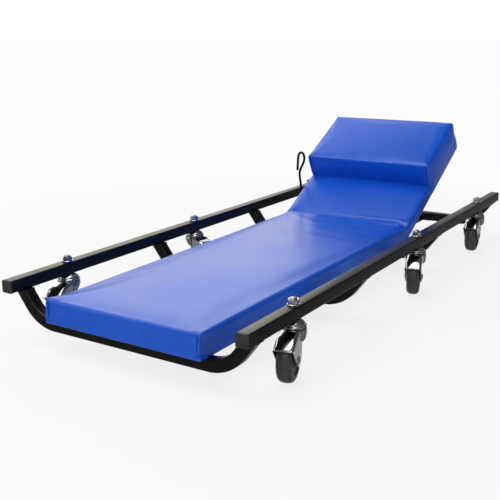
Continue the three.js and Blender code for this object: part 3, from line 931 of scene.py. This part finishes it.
def build_upholstery():
    seat = 689.5
    st = spread(0, seat - 30, 9.0, ("a",), 1.3) + [seat - 26 + 2.6 * k for k in range(1, 20)]
    st = [x for x in st if x <= seat + 24]
    st += spread(seat + 27, HEAD_END, 8.0)[0:]
    st = sorted(set(round(x, 3) for x in st))
    cols = spread(-W, W, 8.0, ("a", "b"), 1.0, 1.14)
    rows = [0, 0.03, 0.10, 0.22, 0.36, 0.5, 0.62, 0.72, 0.80, 0.86, 0.91, 0.95, 0.98, 1.0]
    keys, faces = grid_block(st, cols, rows)
    verts = [None] * len(keys)
    shrink = 1.0
    for (i, j, k), idx in keys.items():
        s, x, t = st[i], cols[j], rows[k]
        thick = DECK_T + (HEAD_T - DECK_T) * smooth01((s - seat + 10) / 40)
        h = t * thick
        # rounded in unbent space: top edges soft, bottom edges tight
        open_ = 2.2 + 5.3 * smooth01((s - 5) / 40)
        r = (5.0, open_, 5.0 + 2.0 * smooth01((s - 5) / 40)) if h > thick * 0.5 else (1.4, 1.4, 1.4)
        p = round_box((s, x, h), (0, -W, 0), (HEAD_END, W, thick), r)
        s2, x2, h2 = p
        # foam under tension: crown on top, sides drawn in a little at half height
        crown = 1.4 * (1 - (x2 / W) ** 2) * smooth01(s2 / 60)
        t2 = h2 / thick
        corner = 1 - smooth01((W - abs(x2)) / 22) * smooth01(s2 / 22) if s2 < 22 else 0.0
        if abs(x2) < W - 22:
            corner = 0.0
        sh = shrink * (1 - corner)
        h2 += crown * smooth01((t2 - 0.6) / 0.4) - sh * smooth01((t2 - 0.6) / 0.4)
        inn = 1.0 * math.sin(math.pi * min(1, t2)) * smooth01((abs(x2) - W + 12) / 12)
        x2 -= math.copysign((inn * 0.4 + shrink * 0.6 * smooth01((t2 - 0.1) / 0.3)) * smooth01(s2 / 20), x2) if abs(x2) > W - 12 else 0
        if x2 < -W + 14:
            x2 -= 2.8 * smooth01((s2 - 640) / 60) * smooth01((-W + 14 - x2) / 12) * smooth01((t2 - 0.1) / 0.3)
        y, z = pad_map(max(s2, 0), h2 / thick)
        if s2 < 6:
            y -= 0.5 * math.sin(math.pi * min(1, t2)) - shrink * 0.5 * smooth01((t2 - 0.1) / 0.3)
        verts[idx] = (x2, y, z)
    o = mesh("upholstery_cover", verts, faces, VINYL)

    def pin(c):
        x, y, z = c
        # held where the cover is wrapped tight under the boards and stapled, and where it goes under the pillow block
        a = (y - HINGE[0]) * math.cos(TILT) + (z - HINGE[1]) * math.sin(TILT)
        u = -(y - HINGE[0]) * math.sin(TILT) + (z - HINGE[1]) * math.cos(TILT)
        low = 1.0 - smooth01((z - 52.0) / 8.0)
        if y > 168:
            low = max(0.0, 1.0 - smooth01((u - 12.0) / 5.0))
            if a > 170:
                low = 1.0
        crease = math.exp(-((y - 180.4) / 5.0) ** 2) * 0.9
        return max(low, crease if z > 60 else 0.0)
    cloth_swell(o, pin, 1.5)

    # one subdivision, then the folds that a coarse mesh can't hold
    sub = o.modifiers.new("sub", "SUBSURF")
    sub.levels = sub.render_levels = 1
    bake(o)
    me = o.data
    for v in me.vertices:
        x, y, z = v.co / MM
        nx = ny = nz = 0.0
        top_w = smooth01((z - 62) / 12)
        # crease: a soft roll on the deck's end, then the valley where the cover turns up
        if y < 230:
            # the roll runs a little nearer the foot at the right-hand side and fades at the left
            ux = (x + W) / (2 * W)
            yr = 171.5 - 3.0 * math.sin(math.pi * min(max(ux, 0), 1)) + 2.0 * (1 - ux)
            edge = smooth01((W - 5 - abs(x)) / (48 if x < 0 else 24))
            amp = (0.7 + 1.3 * smooth01(ux * 1.3)) * edge
            nz += amp * math.exp(-((y - yr + 1.5) / 6.6) ** 2) * top_w
            nz -= (2.0 + 1.6 * ux) * math.exp(-((y - yr - 9.5) / 3.0) ** 2) * top_w * edge
            # the cover rolls over itself just above the crease, more toward the right
            nz += (0.6 + 2.6 * smooth01(ux * 1.2)) * math.exp(-((y - yr - 16.0) / 4.2) ** 2) * edge * top_w
            # pucker at the right end of the crease
            for cx, a in ((119.0, 2.8),):
                d2 = ((x - cx) / 6.0) ** 2 + ((y - 171.0) / 9.0) ** 2
                nz += a * math.exp(-d2) * top_w
                d3 = ((x - cx - math.copysign(8.0, cx)) / 3.2) ** 2 + ((y - 179.0) / 7.0) ** 2
                nz -= a * 0.8 * math.exp(-d3) * top_w
        # tension wrinkles fanning from the crease ends over the deck
        if -60 < y < 172 and z > 70:
            fade = smooth01((y + 60) / 90) * smooth01((172 - y) / 14)
            for sx, amp in ((1, 1.0), (-1, 0.55)):
                dx = W * sx - x
                ang = math.atan2(abs(dx) + 1e-6, 176 - y)
                rr = math.hypot(dx, 176 - y)
                reach = math.exp(-((rr - 70) / 60) ** 2)
                nz += 0.42 * amp * fade * reach * math.sin(ang * 15.0 + 0.6 * math.sin(rr / 26.0)) * smooth01(rr / 30)
            nz += 0.16 * fade * math.sin(y / 7.5 + 1.6 * math.sin(x / 55.0)) * math.exp(-((x - 40) / 90) ** 2)
        # slow unevenness of foam under the cover
        if z > 60:
            nz += 0.28 * math.sin(x / 31.0 + 0.7 * math.sin(y / 63.0)) * math.sin(y / 47.0 + 0.4) * top_w
        # corner pleats at the foot end: the side folded over the end face, with a shadow line
        if y < -500:
            face = smooth01((-501 - y) / 6)
            hi = smooth01((z - 45.6) / 5) * smooth01((79.5 - z) / 5)
            for sx in (1, -1):
                inset = 4.6 + 0.07 * (80 - z)
                d = sx * x - (W - inset)
                ny += (4.0 * math.exp(-(d / 1.0) ** 2) - 1.7 * smooth01((d - 0.7) / 1.0) * smooth01((6.5 - d) / 3)) * face * hi
        # side pleats under tension along the lower edge
        if abs(x) > W - 3 and 46 < z < 74 and y < 150:
            nx -= math.copysign(0.35 * (0.5 + 0.5 * math.sin(y / 17.0 + 1.2 * math.sin(y / 61.0))) * math.sin(math.pi * (z - 46) / 28), x)
        v.co += Vector((nx, ny, nz)) * MM
    # the boards show below, inside a hem that is folded under and stapled
    for v in me.vertices:
        x, y, z = v.co / MM
        hug = z < 54 if y < 168 else -(y - HINGE[0]) * math.sin(TILT) + (z - HINGE[1]) * math.cos(TILT) < 13
        if hug and z > 43.9 and 131 < abs(x) < 134.7:
            v.co.x = math.copysign(134.7, x) * MM
        if z < 54 and z > 43.9 and -507.8 < y < -503:
            v.co.y = -507.8 * MM
        x, y, z = v.co / MM
        if z < 44.0 and -490 < y < 138 and abs(x) < W - 17:
            v.co.z = 46.0 * MM
        a = (y - HINGE[0]) * math.cos(TILT) + (z - HINGE[1]) * math.sin(TILT)
        u = -(y - HINGE[0]) * math.sin(TILT) + (z - HINGE[1]) * math.cos(TILT)
        if u < 3.4 and a > 26 and abs(x) < W - 17:
            v.co += Vector((0, -math.sin(TILT), math.cos(TILT))) * 2.6 * MM
    me.update()
    for p in me.polygons:
        p.use_smooth = True
    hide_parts("main_cushion", "head_cushion")
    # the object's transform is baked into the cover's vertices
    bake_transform(o)
    return o


def build_pillow():
    A0, A1 = 162.0, 324.6
    top_f, top_b = 75.1, 71.6
    st = spread(A0, A1, 7.0, ("a", "b"), 1.1)
    cols = spread(-W, W, 8.0, ("a", "b"), 1.0, 1.14)
    rows = [0, 0.02, 0.06, 0.14, 0.26, 0.40, 0.54, 0.66, 0.76, 0.84, 0.90, 0.94, 0.97, 0.99, 1.0]
    keys, faces = grid_block(st, cols, rows)
    verts = [None] * len(keys)
    lo = (A0, -W - 0.6, 0.0)
    hi = (A1, W + 0.6, 1.0)
    shrink = 1.2
    for (i, j, k), idx in keys.items():
        a, x, t = st[i], cols[j] * (W + 0.6) / W, rows[k]
        f = (a - A0) / (A1 - A0)
        H = top_f + (top_b - top_f) * f - 2.88
        h = t * H
        if h > H * 0.5:
            near = smooth01(min(a - A0, A1 - a) / 30)
            r = (4.6 + (4.0 if x > 0 else 0.0) * smooth01((abs(x) - 96) / 36), (13.0 if x > 0 else 6.0) * (0.5 + 0.5 * near), 4.6 + (6.0 if x > 90 else 1.0) * near)
        else:
            r = (1.6, 1.6, 1.6)
        p = round_box((a, x, h), (A0, -W - 0.6, 0), (A1, W + 0.6, H), r)
        a2, x2, h2 = p
        t2 = h2 / H
        crown = 2.2 * (1 - (x2 / W) ** 2) * math.sin(math.pi * min(max((a2 - A0) / (A1 - A0), 0.02), 0.98)) ** 0.6
        h2 += (crown - shrink) * smooth01((t2 - 0.7) / 0.3)
        # the ends bulge softly, the front is drawn in where it meets the headrest
        if abs(x2) > W - 10:
            full = math.sin(math.pi * min(max((a2 - A0) / (A1 - A0), 0), 1)) ** 0.5
            x2 += math.copysign((2.4 if x2 > 0 else 1.0) * full * math.sin(math.pi * min(1, t2)) - shrink * 0.7 * smooth01((t2 - 0.05) / 0.2), x2)
        if a2 < A0 + 8:
            g = 1 - (a2 - A0) / 8
            hh = h2 - 22.5
            a2 += g * (1.6 * math.exp(-(hh / 5.0) ** 2) + (0.9 - 1.3 * math.sin(math.pi * min(1, max(0, hh / 50)))) * 0.8 + shrink * 0.5)
        y, z = head_point(a2, 2.88 + h2)
        verts[idx] = (x2, y, z)
    o = mesh("pillow_block", verts, faces, VINYL)

    def pin(c):
        x, y, z = c
        u = -(y - HINGE[0]) * math.sin(TILT) + (z - HINGE[1]) * math.cos(TILT)
        return max(0.0, 1.0 - smooth01((u - 4) / 16.0))
    cloth_swell(o, pin, 1.0)
    sub = o.modifiers.new("sub", "SUBSURF")
    sub.levels = sub.render_levels = 1
    bake(o)
    me = o.data
    c, s = math.cos(TILT), math.sin(TILT)
    for v in me.vertices:
        x, y, z = v.co / MM
        a = (y - HINGE[0]) * c + (z - HINGE[1]) * s
        u = -(y - HINGE[0]) * s + (z - HINGE[1]) * c
        da = du = dx = 0.0
        # front corner pleats
        if a < A0 + 7 and 24 < u < 72:
            g = smooth01((A0 + 7 - a) / 5) * smooth01((u - 24) / 4) * smooth01((73 - u) / 7)
            for sx in (1, -1):
                d = sx * x - (W - 6.4 + 0.06 * (u - 48))
                da += ((3.4 if sx > 0 else 1.6) * math.exp(-(d / 1.1) ** 2) - 1.2 * smooth01((d - 0.6) / 1.4) * smooth01((9 - d) / 4)) * g
        # back corner pleats on the head-end face
        if a > A1 - 7 and u < 68:
            g = smooth01((a - A1 + 7) / 5) * smooth01((u - 6) / 6) * smooth01((68 - u) / 7)
            for sx in (1, -1):
                d = sx * x - (W - 6.4)
                da -= (1.7 * math.exp(-(d / 0.95) ** 2) - 0.7 * smooth01((d - 0.6) / 1.4) * smooth01((9 - d) / 4)) * g
        # slow unevenness
        if u > 60:
            du += 0.35 * math.sin(x / 34.0 + 0.8) * math.sin(a / 26.0) * smooth01((u - 60) / 8)
        # the side cover's seam line where the pillow's foam meets the headrest's foam
        if abs(x) > W - 4:
            dx -= math.copysign(0.7 * math.exp(-((u - 25.2) / 1.6) ** 2), x)
        v.co += Vector((dx, da * c - du * s, da * s + du * c)) * MM
        # the left end stays clear of the rod's hook, which comes to lie beside it
        if v.co.x < -133.6 * MM:
            v.co.x = -(133.6 + 2.3 * math.tanh((-v.co.x / MM - 133.6) / 2.3)) * MM
    for v in me.vertices:
        x, y, z = v.co / MM
        a = (y - HINGE[0]) * c + (z - HINGE[1]) * s
        u = -(y - HINGE[0]) * s + (z - HINGE[1]) * c
        if u < 3.4 and a < A1 - 18 and abs(x) < W - 17:
            v.co += Vector((0, -s, c)) * 2.6 * MM
    me.update()
    for p in me.polygons:
        p.use_smooth = True
    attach(o, "headrest")
    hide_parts("pillow")
    return o


cover = build_upholstery()
block = build_pillow()


# ------------------------------------------------------------------ CAD nodes that stay, with their finishes
def dress(node, mat, width=0.0):
    o = NODES[node]
    o.data.materials.clear()
    o.data.materials.append(mat)
    if width:
        bevel(o, width)


for n in ("main_board", "head_board"):
    dress(n, PLY)
for sd in ("right", "left"):
    dress(f"{sd}_hinge_fixed_leaf", ZINC)
    dress(f"{sd}_hinge_moving_leaf", ZINC)
    dress(f"{sd}_hinge_pin", BOLT)
    dress(f"{sd}_support_bar", POWDER)
    dress(f"{sd}_bar_bolt_foot", BOLT)
    dress(f"{sd}_bar_bolt_head", BOLT)
dress("rod_retainer", ZINC)

# ------------------------------------------------------------------ camera, light, floor
cam_data = bpy.data.cameras.new("camera")
cam = bpy.data.objects.new("camera", cam_data)
scene.collection.objects.link(cam)
scene.camera = cam
a, e, roll = math.radians(32.54), math.radians(15.004), math.radians(-0.284)
fwd = Vector((-math.sin(a) * math.cos(e), math.cos(a) * math.cos(e), -math.sin(e)))
right = Vector((math.cos(a), math.sin(a), 0))
up = right.cross(fwd)
r2 = right * math.cos(roll) + up * math.sin(roll)
u2 = -right * math.sin(roll) + up * math.cos(roll)
cam.matrix_world = Matrix(((r2.x, u2.x, -fwd.x, 0.69435), (r2.y, u2.y, -fwd.y, -1.26755), (r2.z, u2.z, -fwd.z, 0.44123), (0, 0, 0, 1)))
cam_data.sensor_width = 36
cam_data.lens = 806.74 / 500 * 36
cam_data.clip_start, cam_data.clip_end = 0.01, 100


def area(name, loc, target, size, power, size_y=None, colour=(1, 1, 1), camera=False):
    d = bpy.data.lights.new(name, "AREA")
    d.shape = "RECTANGLE"
    d.size, d.size_y = size, size_y or size
    d.energy = power
    d.color = colour
    o = bpy.data.objects.new(name, d)
    scene.collection.objects.link(o)
    o.location = loc
    o.rotation_euler = (Vector(target) - Vector(loc)).to_track_quat("-Z", "Y").to_euler()
    o.visible_camera = camera
    return o


def at(az, el, dist):
    """A place seen from the object at an azimuth to the right of the camera's forward direction."""
    t = math.radians(32.54 - az)
    return Vector((-math.sin(t) * math.cos(math.radians(el)), math.cos(t) * math.cos(math.radians(el)), math.sin(math.radians(el)))) * dist


area("key_top", (-0.45, -0.6, 2.6), (0, 0, 0), 2.3, 45)
area("panel_back", at(-20.5, 25, 3.2) + Vector((0, 0, 0.1)), (0, 0, 0.1), 2.9, 23, 1.6, (1.0, 0.97, 0.84))
area("strip_top", at(-8, 45, 2.6) + Vector((0, 0, 0.1)), (0, 0.1, 0.15), 2.2, 5, 0.4)
area("fill_front", at(190, 34, 3.0), (0, 0, 0.05), 1.6, 12)
area("side_left", at(-95, 25, 2.6), (0, 0, 0.1), 1.2, 8)

world = bpy.data.worlds.new("studio")
scene.world = world
world.use_nodes = True
wt = world.node_tree
bg = wt.nodes["Background"]
tc = wt.nodes.new("ShaderNodeTexCoord")
sep = wt.nodes.new("ShaderNodeSeparateXYZ")
wt.links.new(tc.outputs["Generated"], sep.inputs[0])


def wmath(op, x, y=None, z=None):
    m = wt.nodes.new("ShaderNodeMath")
    m.operation = op
    for i_, v_ in enumerate((x, y, z)):
        if v_ is None:
            continue
        if isinstance(v_, (int, float)):
            m.inputs[i_].default_value = v_
        else:
            wt.links.new(v_, m.inputs[i_])
    return m.outputs[0]


rampw = wt.nodes.new("ShaderNodeValToRGB")
wt.links.new(sep.outputs["Z"], rampw.inputs["Fac"])
els = rampw.color_ramp.elements
stops = [(0.0, 1.0), (0.10, 0.95), (0.22, 0.45), (0.5, 0.30), (0.8, 0.5), (1.0, 0.7)]
while len(els) < len(stops):
    els.new(0.5)
for el_, (p, v) in zip(els, stops):
    el_.position, el_.color = p, (v, v, v, 1)
# 1 straight beyond the object, 0 to the right, low behind the camera
ahead = wmath("ADD", wmath("MULTIPLY", sep.outputs["X"], -0.75), wmath("MULTIPLY", sep.outputs["Y"], 0.66))
rampa = wt.nodes.new("ShaderNodeValToRGB")
wt.links.new(wmath("ADD", wmath("MULTIPLY", ahead, 0.5), 0.5), rampa.inputs["Fac"])
e2 = rampa.color_ramp.elements
e2.new(0.6)
e2.new(0.8)
for el_, (p, v) in zip(e2, [(0.12, 0.34), (0.6, 0.12), (0.8, 0.36), (0.9, 1.04)]):
    el_.position, el_.color = p, (v, v, v, 1)
mixw = wt.nodes.new("ShaderNodeVectorMath")
mixw.operation = "MULTIPLY"
wt.links.new(rampw.outputs["Color"], mixw.inputs[0])
wt.links.new(rampa.outputs["Color"], mixw.inputs[1])
wt.links.new(mixw.outputs[0], bg.inputs["Color"])
bg.inputs["Strength"].default_value = 1.0

floor_v, floor_f = [], []
seg = 64
floor_v.append((0, 0, 0))
for rr in (3, 60):
    for s in range(seg):
        floor_v.append((rr * math.cos(2 * math.pi * s / seg), rr * math.sin(2 * math.pi * s / seg), 0))
for s in range(seg):
    t = (s + 1) % seg
    floor_f.append((0, 1 + s, 1 + t))
    floor_f.append((1 + s, 1 + seg + s, 1 + seg + t, 1 + t))
fm = bpy.data.meshes.new("floor")
fm.from_pydata(floor_v, [], floor_f)
floor = bpy.data.objects.new("floor", fm)
scene.collection.objects.link(floor)
floor.location.z = -0.0002
k = Nodes("pale_floor")
vv = k.coord()
k.l(k.ramp(k.noise(vv, 3.0, 3.0), [(0.3, (0.86, 0.86, 0.86)), (0.7, (0.9, 0.9, 0.9))]), k.b.inputs["Base Color"])
k.b.inputs["Roughness"].default_value = 0.6
k.b.inputs["Specular IOR Level"].default_value = 0.2
ln = k.n("ShaderNodeVectorMath", _operation="LENGTH")
k.l(vv, ln.inputs[0])
far = k.n("ShaderNodeEmission", Strength=1.0)
far.inputs["Color"].default_value = (0.98, 0.98, 0.98, 1)
mx = k.n("ShaderNodeMixShader")
k.l(k.rng(ln.outputs["Value"], 0.82, 1.0, 0.4, 1.2), mx.inputs["Fac"])
k.l(k.b.outputs[0], mx.inputs[1])
k.l(far.outputs[0], mx.inputs[2])
k.l(mx.outputs[0], k.o.inputs["Surface"])
fm.materials.append(k.m)
floor.visible_glossy = False     # reflections come from the studio surround alone

scene.view_settings.view_transform = "Standard"
scene.view_settings.look = "None"
scene.view_settings.exposure = 0.0
